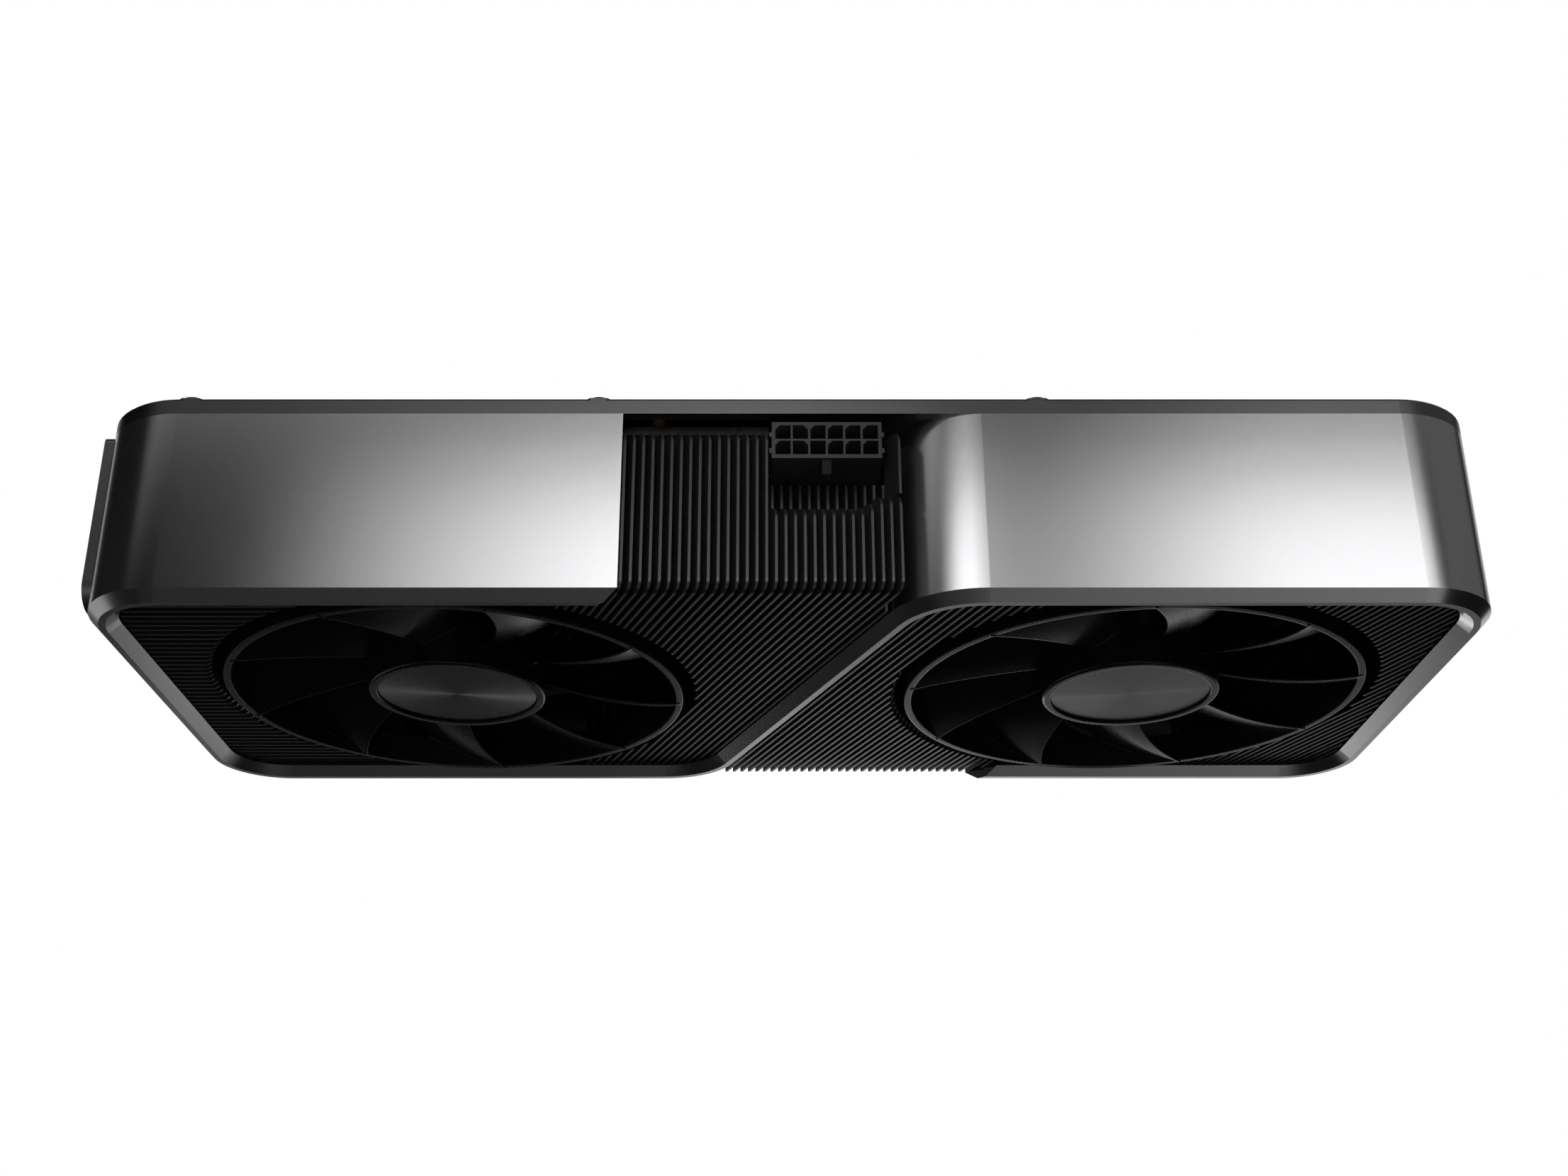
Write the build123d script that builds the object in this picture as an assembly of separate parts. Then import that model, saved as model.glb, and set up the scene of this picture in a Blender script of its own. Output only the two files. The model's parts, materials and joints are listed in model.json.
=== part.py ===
from build123d import *
import math
import os

# A two-slot graphics card lying on its backplate, fans up (+Z). Millimetres.
# +X is the output-bracket end, -Y the long edge with the power socket, +Y the edge-connector side.
# The origin is the centre of the whole card's footprint, on the plane of the backplate screw heads.

# ---- overall size
LENGTH = 242.0  # bracket face to tail wall
BODY_WIDTH = 96.55  # near wall to far wall
EDGE_HEIGHT = 112.0  # near wall to the tip of the edge connector
TONGUE_REACH = 119.0  # near wall to the tip of the bracket's tongue
BODY_THICKNESS = 37.8
HEAD_PROUD = 0.45

# ---- frame band
BRACKET_T = 1.75
WALL = 2.0
HALF_RIM = 2.5  # lip centre line to outer wall, and to the foot of the inner bevel
HALF_LIP = 0.6
SLOPE = 1.9
CORNER_R = 15.0
S_CORNER_R = 17.35
DIAG_ANGLE = 23.0  # degrees from Y
DIAG_X = -4.6  # where the diagonal crosses the body's mid line
RAIL_END_SKEW = 51.0  # degrees from Y, the cut at each free rail end
NEAR_RAIL_END_X = 27.65
FAR_RAIL_END_X = -39.8

# ---- stack of levels, up from the backplate
RIM_HEIGHT = 3.1
PLATE_T = 1.2
BOARD_T = 1.6
BOARD_GAP = 2.0
COLD_PLATE_GAP = 1.9
COLD_PLATE_T = 2.0
PIPE_T = 3.0
FIN_TOP_DROP = 2.0  # fins end this far below the lip
EDGE_FIN_RISE = 5.8  # edge fins start this far above the backplate's face
UNDER_FAN_FIN_TOP = 17.8

# ---- fins
FIN_T = 0.5
FIN_PITCH = 1.488
FIN_PITCH_X = 2.02
FIN_EDGE_R = 2.0
FIN_HOLE_R = 1.5
FIRST_FIN_MIDDLE = 3.16  # first fin from the lip centre line, on the bracket side
FIRST_FIN_TAIL = 3.7  # and on the tail side
EDGE_ROW_DEPTH = 9.2
FIN_RECESS = 0.8  # fin ends behind the outer wall plane

# ---- fans
FAN_X = (61.7, -66.0)
RING_R = 42.8
RING_T = 1.3
RING_H = 6.0
FAN_HOLE_R = 44.6
HUB_R = 16.6
HUB_H = 13.6
CAP_R = 15.0
CAP_T = 0.8
CAP_RECESS = 0.45
RING_DROP = 1.1  # ring top below the lip
BLADES = 9
BLADE_T = 0.9
BLADE_SWEEP = 10.8  # degrees the leading edge trails from ring to hub
BLADE_DROP = 4.3  # and how far it falls
BLADE_CHORD = 31.0  # degrees at the ring
BLADE_DEPTH = 9.5
FAN_PHASE = (15.4, 35.6)  # rest angle of one leading edge at the ring
SHAFT_R = 1.5
SLEEVE_BORE_R = 1.53
SLEEVE_R = 4.4
STATOR_R = 11.8
MAGNET_R = (12.4, 15.2)

# ---- derived levels and edges
X_BRACKET = LENGTH / 2
X_END = X_BRACKET - BRACKET_T
X_TAIL = -LENGTH / 2
Y_NEAR = -TONGUE_REACH / 2
Y_FAR = Y_NEAR + BODY_WIDTH
Y_MID = (Y_NEAR + Y_FAR) / 2
Z_PLATE = HEAD_PROUD
Z_RIM = Z_PLATE + RIM_HEIGHT
Z_TOP = Z_PLATE + BODY_THICKNESS
Z_BOARD = Z_PLATE + PLATE_T + BOARD_GAP
Z_BOARD_TOP = Z_BOARD + BOARD_T
Z_COLD = Z_BOARD_TOP + COLD_PLATE_GAP
Z_PIPE = Z_COLD + COLD_PLATE_T
Z_FIN = Z_PIPE + PIPE_T
Z_FIN_TOP = Z_TOP - FIN_TOP_DROP
Z_EDGE_FIN = Z_PLATE + EDGE_FIN_RISE
Z_RING_TOP = Z_TOP - RING_DROP
Z_HUB = Z_RING_TOP - HUB_H
FAN_Y = Y_MID
SLOPE_X = math.tan(math.radians(DIAG_ANGLE))


def box(x0, x1, y0, y1, z0, z1):
    size = (x1 - x0, y1 - y0, z1 - z0)
    return Pos((x0 + x1) / 2, (y0 + y1) / 2, (z0 + z1) / 2) * Box(*size)


def rod(x, y, r, z0, z1):
    return Pos(x, y, (z0 + z1) / 2) * Cylinder(r, z1 - z0)


def tube(x, y, r_out, r_in, z0, z1):
    return rod(x, y, r_out, z0, z1) - rod(x, y, r_in, z0 - 1, z1 + 1)


def rod_x(y, z, r, x0, x1):
    return Pos((x0 + x1) / 2, y, z) * Rot(0, 90, 0) * Cylinder(r, x1 - x0)


def prism(points, z0, z1):
    return Pos(0, 0, z0) * extrude(make_face(Polyline(*points, close=True)), z1 - z0)


def save(name, shape):
    solids = shape if isinstance(shape, list) else [shape]
    pieces = [s for item in solids for s in item.solids()]
    whole = pieces[0] if len(pieces) == 1 else Compound(pieces)
    export_step(whole, f"parts/{name}.step")


def diagonal_x(y):
    return DIAG_X + (y - Y_MID) * SLOPE_X


# ---- the S-shaped rim's centre line
RIM_NEAR = Y_NEAR + HALF_RIM
RIM_FAR = Y_FAR - HALF_RIM
RIM_END = X_END - HALF_RIM
RIM_TAIL = X_TAIL + HALF_RIM
DIAG_FAR = (diagonal_x(RIM_FAR), RIM_FAR)
DIAG_NEAR = (diagonal_x(RIM_NEAR), RIM_NEAR)
DIAG_MID = (DIAG_X, Y_MID)
OUTER_R = CORNER_R - HALF_RIM
INNER_R = S_CORNER_R - HALF_RIM


def bracket_side_path():
    points = [(NEAR_RAIL_END_X - 6, RIM_NEAR), (RIM_END, RIM_NEAR), (RIM_END, RIM_FAR), DIAG_FAR, DIAG_MID]
    return FilletPolyline(*points, radius=[OUTER_R, OUTER_R, INNER_R])


def tail_side_path():
    points = [DIAG_MID, DIAG_NEAR, (RIM_TAIL, RIM_NEAR), (RIM_TAIL, RIM_FAR), (FAR_RAIL_END_X + 6, RIM_FAR)]
    return FilletPolyline(*points, radius=[INNER_R, OUTER_R, OUTER_R])


def beyond_rail_end(x, y, way):
    """Plan region cut away past a rail's free end."""
    reach = 8 * math.tan(math.radians(RAIL_END_SKEW))
    near, far = x - reach, x + reach
    return [(near, y - 8), (far, y + 8), (far + way * 30, y + 8), (near + way * 30, y - 8)]


FREE_ENDS = (beyond_rail_end(NEAR_RAIL_END_X, Y_NEAR, -1), beyond_rail_end(FAR_RAIL_END_X, Y_FAR, 1))


def band_section(start, outward):
    """The rim's hook section: outer wall, chamfer, flat lip, inner bevel and underside."""
    outline = [
        (HALF_RIM, Z_RIM),
        (HALF_RIM, Z_TOP - SLOPE),
        (HALF_LIP, Z_TOP),
        (-HALF_LIP, Z_TOP),
        (-HALF_RIM, Z_TOP - SLOPE),
        (-HALF_RIM, Z_TOP - SLOPE - 1.3),
        (HALF_RIM - WALL, Z_TOP - SLOPE - 2.7),
        (HALF_RIM - WALL, Z_RIM),
    ]
    points = [(start[0] + u * outward[0], start[1] + u * outward[1], z) for u, z in outline]
    return make_face(Polyline(*points, close=True))


# ---- screws through the backplate into the frame: bosses sit just inside the walls
BOSS_R = 2.0
BOSS_IN = 2.2
BOSS_H = 10.0
NEAR_BOSSES = [(x, Y_NEAR + BOSS_IN) for x in (102.4, 32.0, -43.75)]
FAR_BOSSES = [(x, Y_FAR - BOSS_IN) for x in (102.4, -47.0, -104.0)]
TAIL_BOSSES = [(X_TAIL + BOSS_IN, Y_MID)]
BOSSES = NEAR_BOSSES + FAR_BOSSES + TAIL_BOSSES
SCREW_R = 0.95
SCREW_HOLE_R = 1.0
HEAD_R = 2.0


# ---- output bracket features, shared by bracket, frame window and ports
PORT_Y = (-37.6, -19.9, -2.2, 15.5)
PORT_W = (17.0, 17.0, 17.0, 15.2)
PORT_H = (6.4, 6.4, 6.4, 6.0)
PORT_NAMES = ("video_port_1", "video_port_2", "video_port_3", "video_port_4")
PORT_DEPTH = 17.5
WINDOW_Y = (-46.6, 25.0)
WINDOW_Z = (4.9, 28.8)
BRACKET_SCREW_Y = (-41.5, 29.0)
BRACKET_SCREW_Z = 31.6

# ---- board outline landmarks
BOARD_X = (-21.0, 116.9)
BOARD_NEAR = -55.0
NECK_X = (-20.5, 77.7)
NECK_Y = 42.95
FINGER_TIP = Y_NEAR + EDGE_HEIGHT
FINGER_X = 74.75
SHORT_FINGERS = 11.65
KEY = 1.9
LONG_FINGERS = 71.65
SOCKET_X = -7.3
SOCKET_W = 18.85
SOCKET_Z = (4.65, 11.65)
SOCKET_Y = (Y_NEAR + 1.0, -44.5)
SOCKET_ZONE = (SOCKET_X - 10.0, SOCKET_X + 10.0, Y_NEAR - 1, -43.0)
SHORT_FIN_Z = 20.7


def frame_band():
    bracket_half = sweep(band_section((NEAR_RAIL_END_X - 6, RIM_NEAR), (0, -1)), path=bracket_side_path())
    a = math.radians(DIAG_ANGLE)
    tail_half = sweep(band_section(DIAG_MID, (math.cos(a), -math.sin(a))), path=tail_side_path())
    band = bracket_half + tail_half
    # under the diagonal only the rim remains, so that air and heat pipes pass
    reach = 0.5 * (RIM_FAR - RIM_NEAR) - INNER_R * 0.61
    low, high = Y_MID - reach, Y_MID + reach
    side = 2 * HALF_RIM
    corners = [(diagonal_x(low) - side, low), (diagonal_x(low) + side, low),
               (diagonal_x(high) + side, high), (diagonal_x(high) - side, high)]
    band -= prism(corners, 0, Z_TOP - SLOPE - 2.7)
    for points in FREE_ENDS:
        band -= prism(points, 0, Z_TOP + 1)
    for x, y in BOSSES:
        band += rod(x, y, BOSS_R, Z_RIM, Z_RIM + BOSS_H)
        band -= rod(x, y, SCREW_HOLE_R, Z_RIM - 1, Z_RIM + BOSS_H - 2)
    # slots for the board and its neck, and a window behind the bracket
    band -= box(BOARD_X[0] - 0.5, 32.0, 24.0, Y_FAR - 3, Z_RIM - 1, Z_BOARD_TOP + 0.4)
    band -= box(NECK_X[0] - 0.5, NECK_X[1] + 0.5, Y_FAR - 4, Y_FAR + 1, Z_RIM - 1, Z_BOARD_TOP + 0.4)
    band -= box(X_END - 6, X_END + 1, *WINDOW_Y, *WINDOW_Z)
    for y in BRACKET_SCREW_Y:
        band -= rod_x(y, BRACKET_SCREW_Z, 1.1, X_END - 4, X_END + 1)
    return band


VENT_W = 3.4
VENT_PITCH = 6.2
VENT_COUNT = 12


def backplate():
    width, depth = X_END - X_TAIL, BODY_WIDTH
    x_mid = (X_END + X_TAIL) / 2
    outline = Pos(x_mid, Y_MID) * RectangleRounded(width, depth, CORNER_R)
    inner = Pos(x_mid, Y_MID) * RectangleRounded(width - 2 * WALL, depth - 2 * WALL, CORNER_R - WALL)
    plate = Pos(0, 0, Z_PLATE) * extrude(outline, RIM_HEIGHT)
    plate -= Pos(0, 0, Z_PLATE + PLATE_T) * extrude(inner, RIM_HEIGHT)
    plate = chamfer(plate.faces().sort_by(Axis.Z)[0].outer_wire().edges(), 0.5)
    # slanted exhaust slots behind the tail fan, parallel to the fins
    for k in range(VENT_COUNT):
        offset = (k - (VENT_COUNT - 1) / 2) * VENT_PITCH
        slot = Rot(0, 0, 90 - DIAG_ANGLE) * SlotOverall(50.0, VENT_W)
        plate -= Pos(FAN_X[1] + offset, FAN_Y, Z_PLATE - 1) * extrude(slot, PLATE_T + 2)
    for x, y in BOSSES:
        pad = rod(x, y, BOSS_R + 0.6, Z_PLATE, Z_RIM)
        plate += pad & Pos(0, 0, Z_PLATE) * extrude(outline, RIM_HEIGHT)
        plate -= rod(x, y, SCREW_HOLE_R, Z_PLATE - 1, Z_RIM + 1)
    return plate


def backplate_screws():
    screws = []
    for x, y in BOSSES:
        head = rod(x, y, HEAD_R, 0, Z_PLATE)
        head = fillet(head.faces().sort_by(Axis.Z)[0].edges(), 0.3)
        head -= Pos(x, y, -0.01) * extrude(RegularPolygon(0.75, 6), 0.3)
        screws.append(head + rod(x, y, SCREW_R, Z_PLATE, Z_RIM + BOSS_H - 4))
    return screws


# ---- fins
def plate_on_edge(s0, s1, z0, z1, round_low, round_start, round_end):
    """One fin in its own plane: s along the fin, z up, with its rounded corners."""
    face = make_face(Polyline((s0, z0), (s1, z0), (s1, z1), (s0, z1), close=True))
    corners = [((s0, z0), round_low), ((s0, z1), round_start), ((s1, z1), round_end)]
    for (s, z), r in corners:
        if r:
            corner = face.vertices().sort_by_distance((s, z, 0))[0]
            face = fillet(corner, r)
    return extrude(Plane.XZ * face, FIN_T / 2, both=True)


def ends_at_hole(x, y):
    return any(abs(math.hypot(x - fan, y - FAN_Y) - FAN_HOLE_R) < 1.2 for fan in FAN_X)


def spans(region, angle, offset, shortest):
    """Start and end, along the fin's direction, of each stretch of one fin inside a plan region."""
    turn = math.radians(angle)
    strip = Pos(0, offset) * Rectangle(1000, FIN_T)
    found = []
    for piece in ((Rot(0, 0, -angle) * region) & strip).faces():
        sides = piece.edges().filter_by(Axis.X).group_by(Axis.Y)
        if len(sides) < 2:
            continue
        s0 = max(side.vertices().sort_by(Axis.X)[0].X for side in (sides[0], sides[-1]))
        s1 = min(side.vertices().sort_by(Axis.X)[-1].X for side in (sides[0], sides[-1]))
        if s1 - s0 < shortest:
            continue
        if angle:
            seam = (Y_ROW - offset * math.cos(turn)) / math.sin(turn)
            s0, s1 = [seam if abs(s - seam) < 0.3 else s for s in (s0, s1)]
        found.append((s0, s1))
    return found


def on_fin(angle, offset, s):
    turn = math.radians(angle)
    return s * math.cos(turn) - offset * math.sin(turn), s * math.sin(turn) + offset * math.cos(turn)


def fin(angle, offset, span, z0, z1, outer_edge=False, round_top=True):
    at_hole = [ends_at_hole(*on_fin(angle, offset, s)) for s in span]
    start = FIN_EDGE_R if outer_edge and round_top else FIN_HOLE_R if at_hole[0] else 0
    low = FIN_EDGE_R if outer_edge else 0
    end = FIN_HOLE_R if at_hole[1] else 0
    return Rot(0, 0, angle) * Pos(0, offset) * plate_on_edge(*span, z0, z1, low, start, end)


def fins(region, angle, offsets, z0, z1):
    """Parallel fins filling a plan region. angle turns +X onto the fins' direction."""
    return [fin(angle, o, span, z0, z1) for o in offsets for span in spans(region, angle, o, 3.5)]


def area(*points):
    return make_face(Polyline(*points, close=True))


def rect(x0, x1, y0, y1):
    return area((x0, y0), (x1, y0), (x1, y1), (x0, y1))


def disc(x, r):
    return Pos(x, FAN_Y) * Circle(r)


def rim_zone():
    zone = trace(bracket_side_path(), 2 * HALF_RIM + 0.4) + trace(tail_side_path(), 2 * HALF_RIM + 0.4)
    for points in FREE_ENDS:
        zone -= area(*points)
    return zone


def diagonal_offset(x, y):
    """Distance of a point from the diagonal's line, measured across it."""
    return (x - diagonal_x(y)) * math.cos(math.radians(DIAG_ANGLE))


Y_EDGE = Y_NEAR + FIN_RECESS
Y_FAR_EDGE = Y_FAR - FIN_RECESS + 0.4
Y_ROW = Y_EDGE + EDGE_ROW_DEPTH
BAY_NEAR = RIM_NEAR + HALF_RIM + 0.2
BAY_FAR = RIM_FAR - HALF_RIM - 0.2
FIN_ANGLE = 90 - DIAG_ANGLE
DIAG_SHIFT = -diagonal_offset(0, 0)  # the diagonal's offset across the fins, from the origin


def diagonal_offsets(first, count, side):
    """Fin centre lines across the fins' direction; side is +1 towards the bracket, -1 towards the tail."""
    base = DIAG_SHIFT
    return [-(base + side * (first + k * FIN_PITCH)) for k in range(count)]


def row_left(y):
    return NEAR_RAIL_END_X + 0.1 + (y - Y_NEAR) * SLOPE_X


def middle_zone():
    zone = area((diagonal_x(Y_ROW), Y_ROW), (row_left(Y_ROW), Y_ROW), (row_left(BAY_NEAR), BAY_NEAR),
                (FAN_X[0], BAY_NEAR), (FAN_X[0], BAY_FAR), (diagonal_x(BAY_FAR), BAY_FAR))
    return zone - disc(FAN_X[0], FAN_HOLE_R) - rim_zone()


def row_zone():
    zone = area((diagonal_x(Y_EDGE), Y_EDGE), (row_left(Y_EDGE), Y_EDGE),
                (row_left(Y_ROW), Y_ROW), (diagonal_x(Y_ROW), Y_ROW))
    return zone - rim_zone()


def socket_rect():
    return rect(*SOCKET_ZONE)


def short_fin_start(x):
    """Lower end of a fin above the socket: the notch's tail-side corner is cut off at a slant."""
    return SHORT_FIN_Z - 2.3 * min(max((SOCKET_X - 6.3 - x) / 3.1, 0), 1)


def edge_row():
    made = []
    zone = row_zone()
    for offset in diagonal_offsets(FIRST_FIN_MIDDLE + FIN_PITCH, 31, 1):
        for span in spans(zone, FIN_ANGLE, offset, 5.0):
            if not spans(zone & socket_rect(), FIN_ANGLE, offset, 0.2):
                made.append(fin(FIN_ANGLE, offset, span, Z_EDGE_FIN, Z_FIN_TOP, True))
                continue
            z = short_fin_start(on_fin(FIN_ANGLE, offset, span[0])[0])
            made.append(fin(FIN_ANGLE, offset, span, z, Z_FIN_TOP, True))
            for lower in spans(zone - socket_rect(), FIN_ANGLE, offset, 2.2):
                if abs(lower[0] - span[0]) < 0.1:
                    made.append(fin(FIN_ANGLE, offset, lower, Z_EDGE_FIN, z, True, False))
    return made


def middle_stack():
    return fins(middle_zone(), FIN_ANGLE, diagonal_offsets(FIRST_FIN_MIDDLE, 60, 1), Z_FIN, Z_FIN_TOP)


def tail_stack():
    offsets = diagonal_offsets(FIRST_FIN_TAIL, 92, -1)
    open_end = FAR_RAIL_END_X - 0.5
    zone = area((diagonal_x(BAY_NEAR), BAY_NEAR), (diagonal_x(BAY_FAR), BAY_FAR),
                (diagonal_x(Y_FAR_EDGE), Y_FAR_EDGE), (open_end, Y_FAR_EDGE), (open_end - 4.8, BAY_FAR),
                (RIM_TAIL + HALF_RIM + 0.2, BAY_FAR), (RIM_TAIL + HALF_RIM + 0.2, BAY_NEAR))
    zone = zone - disc(FAN_X[1], FAN_HOLE_R) - rim_zone()
    return fins(zone, FIN_ANGLE, offsets, Z_FIN, Z_FIN_TOP)


def bracket_end_stack():
    zone = rect(FAN_X[0], RIM_END - HALF_RIM - 0.2, BAY_NEAR, BAY_FAR)
    zone = zone - disc(FAN_X[0], FAN_HOLE_R) - rim_zone()
    count = int((BAY_FAR - BAY_NEAR) / FIN_PITCH_X)
    offsets = [BAY_NEAR + (k + 0.5) * FIN_PITCH_X for k in range(count)]
    return fins(zone, 0, offsets, Z_FIN, Z_FIN_TOP)


def under_fan_fins(x):
    count = 22
    base = -diagonal_offset(x, FAN_Y) - DIAG_SHIFT
    offsets = [base + (k - count / 2) * 2 * FIN_PITCH for k in range(count + 1)]
    return fins(disc(x, 34.0), FIN_ANGLE, offsets, Z_FIN, UNDER_FAN_FIN_TOP)


# ---- fans
MOUNT_Z = (20.2, 22.2)
MOUNT_RING = (37.2, 40.8)
MOUNT_BASE_R = 13.0
POST_R = 2.4
POST_AT = 39.0
POST_ANGLES = (45, 135, 225, 315)
STATOR_Z = (24.5, 33.5)
HUB_DISC_Z = 34.4
CAP_Z = Z_RING_TOP - CAP_RECESS - CAP_T
SLEEVE_TOP = 33.6
STATOR_TEETH = 6


def at_angle(x, r, degrees):
    a = math.radians(degrees)
    return x + r * math.cos(a), FAN_Y + r * math.sin(a)


def blade_edge(r):
    """Leading edge at radius r: how far it trails in degrees, and its height."""
    q = (RING_R - r) / (RING_R - HUB_R)
    return BLADE_SWEEP * q * (1.75 - 0.75 * q), Z_RING_TOP + 0.1 - BLADE_DROP * q * (0.62 + 0.38 * q)


def blade_section(d, middle):
    """Blade profile in the plane a distance d out along the blade's middle direction."""
    ends = []
    for chord, drop in ((0.0, 0.0), (1.0, BLADE_DEPTH)):
        r = d
        for _ in range(12):
            trail, z = blade_edge(r)
            widening = chord * BLADE_CHORD * (1 + 0.25 * (RING_R - r) / (RING_R - HUB_R))
            angle = math.radians(-trail - widening - middle)
            r = d / math.cos(angle)
        ends.append((d * math.tan(angle), z - drop))
    (y0, z0), (y1, z1) = ends
    run, fall = y1 - y0, z1 - z0
    length = math.hypot(run, fall)
    normal = (-fall / length, run / length)
    upper, lower = [], []
    for t, thick in ((0.0, 0.35), (0.3, 1.0), (0.65, 1.0), (1.0, 0.45)):
        bow = -0.36 * BLADE_DEPTH * t * (1 - t)
        y, z = y0 + run * t + normal[0] * bow, z0 + fall * t + normal[1] * bow
        half = thick * BLADE_T / 2
        upper.append((d, y + normal[0] * half, z + normal[1] * half))
        lower.append((d, y - normal[0] * half, z - normal[1] * half))
    wire = Spline(*upper) + Line(upper[-1], lower[-1]) + Spline(*reversed(lower)) + Line(lower[0], upper[0])
    return make_face(wire)


def blade():
    middle = -(BLADE_SWEEP * 0.7 + BLADE_CHORD * 0.5)
    solid = loft([blade_section(d, middle) for d in (HUB_R - 2.2, 23.0, 33.0, RING_R + 0.8)])
    solid = Rot(0, 0, middle) * solid
    grown = Pos(0, 0, Z_HUB + 7) * (Cylinder(RING_R - 0.6, 40) - Cylinder(HUB_R - 0.7, 40))
    return solid & grown


def rotor(x, phase):
    z0, z1 = Z_HUB, Z_RING_TOP
    hub = rod(0, 0, HUB_R, z0, z1)
    hub = fillet(hub.faces().sort_by(Axis.Z)[-1].edges(), 0.5)
    hub -= rod(0, 0, MAGNET_R[1], z0 - 1, HUB_DISC_Z)
    hub -= rod(0, 0, CAP_R, CAP_Z, z1 + 1)
    hub -= rod(0, 0, SHAFT_R, HUB_DISC_Z - 1, CAP_Z + 0.5)
    ring = rod(0, 0, RING_R, z1 - RING_H, z1) - rod(0, 0, RING_R - RING_T, z1 - RING_H - 1, z1 + 1)
    one = blade()
    whole = hub + ring + [Rot(0, 0, phase + k * 360 / BLADES) * one for k in range(BLADES)]
    return Pos(x, FAN_Y, 0) * whole


def hub_cap(x):
    cap = rod(x, FAN_Y, CAP_R, CAP_Z, CAP_Z + CAP_T)
    return chamfer(cap.faces().sort_by(Axis.Z)[-1].edges(), 0.2)


def fan_shaft(x):
    return rod(x, FAN_Y, SHAFT_R, MOUNT_Z[0] + 0.8, CAP_Z)


def magnet_ring(x):
    return tube(x, FAN_Y, MAGNET_R[1], MAGNET_R[0], STATOR_Z[0] + 0.5, HUB_DISC_Z - 0.4)


def fan_mount(x, foot):
    z0, z1 = MOUNT_Z
    frame = tube(x, FAN_Y, MOUNT_RING[1], MOUNT_RING[0], z0, z1) + rod(x, FAN_Y, MOUNT_BASE_R, z0, z1)
    for angle in POST_ANGLES:
        reach = MOUNT_RING[0] - MOUNT_BASE_R + 3
        arm = Pos(MOUNT_BASE_R - 1 + reach / 2, 0) * Box(reach, 5.0, z1 - z0)
        frame += Pos(x, FAN_Y, (z0 + z1) / 2) * Rot(0, 0, angle) * arm
        frame += rod(*at_angle(x, POST_AT, angle), POST_R, foot, z1)
    return frame - rod(x, FAN_Y, SLEEVE_R + 0.02, z0 + 0.6, z1 + 1)


def bearing_sleeve(x):
    return tube(x, FAN_Y, SLEEVE_R, SLEEVE_BORE_R, MOUNT_Z[0] + 0.6, SLEEVE_TOP)


def stator_core(x):
    z0, z1 = STATOR_Z
    core = tube(x, FAN_Y, 6.4, SLEEVE_R + 0.02, z0, z1)
    shoe = tube(x, FAN_Y, STATOR_R, STATOR_R - 1.2, z0 + 1.5, z1 - 1.5)
    for k in range(STATOR_TEETH):
        angle = k * 360 / STATOR_TEETH
        tooth = Pos(8.6, 0) * Box(5.0, 2.4, z1 - z0 - 3)
        core += Pos(x, FAN_Y, (z0 + z1) / 2) * Rot(0, 0, angle) * tooth
        gap = Pos(STATOR_R - 0.6, 0) * Box(3.0, 1.4, z1 - z0)
        shoe -= Pos(x, FAN_Y, (z0 + z1) / 2) * Rot(0, 0, angle + 180 / STATOR_TEETH) * gap
    return core + shoe


def stator_coils(x):
    coils = []
    z0, z1 = STATOR_Z
    for k in range(STATOR_TEETH):
        turn = Box(3.4, 4.6, z1 - z0 - 1.2) - Box(4, 2.4, z1 - z0 - 3)
        turn = fillet(turn.edges().filter_by(Axis.X).group_by(SortBy.DISTANCE)[-1], 0.8)
        coils.append(Pos(x, FAN_Y, (z0 + z1) / 2) * Rot(0, 0, k * 360 / STATOR_TEETH) * Pos(8.6, 0) * turn)
    return coils


# ---- board and what stands on it
DIE_X = 58.0
DIE_Y = FAN_Y
SPRING_HOLES = [(DIE_X + i * 26.5, DIE_Y + j * 26.5) for i in (-1, 1) for j in (-1, 1)]
STANDOFFS = [(111.0, -51.0), (22.0, -51.0), (-16.0, 28.0), (108.0, 28.0)]
BOARD_SCREW_R = 1.3
PIPE_Y = (-30.0, -18.0, -6.0, 6.0)
PIPE_W = 8.0
PIPE_X = (-112.0, 100.0)
COLD_X = (19.0, 100.5)
COLD_Y = (-43.5, 22.4)


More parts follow.
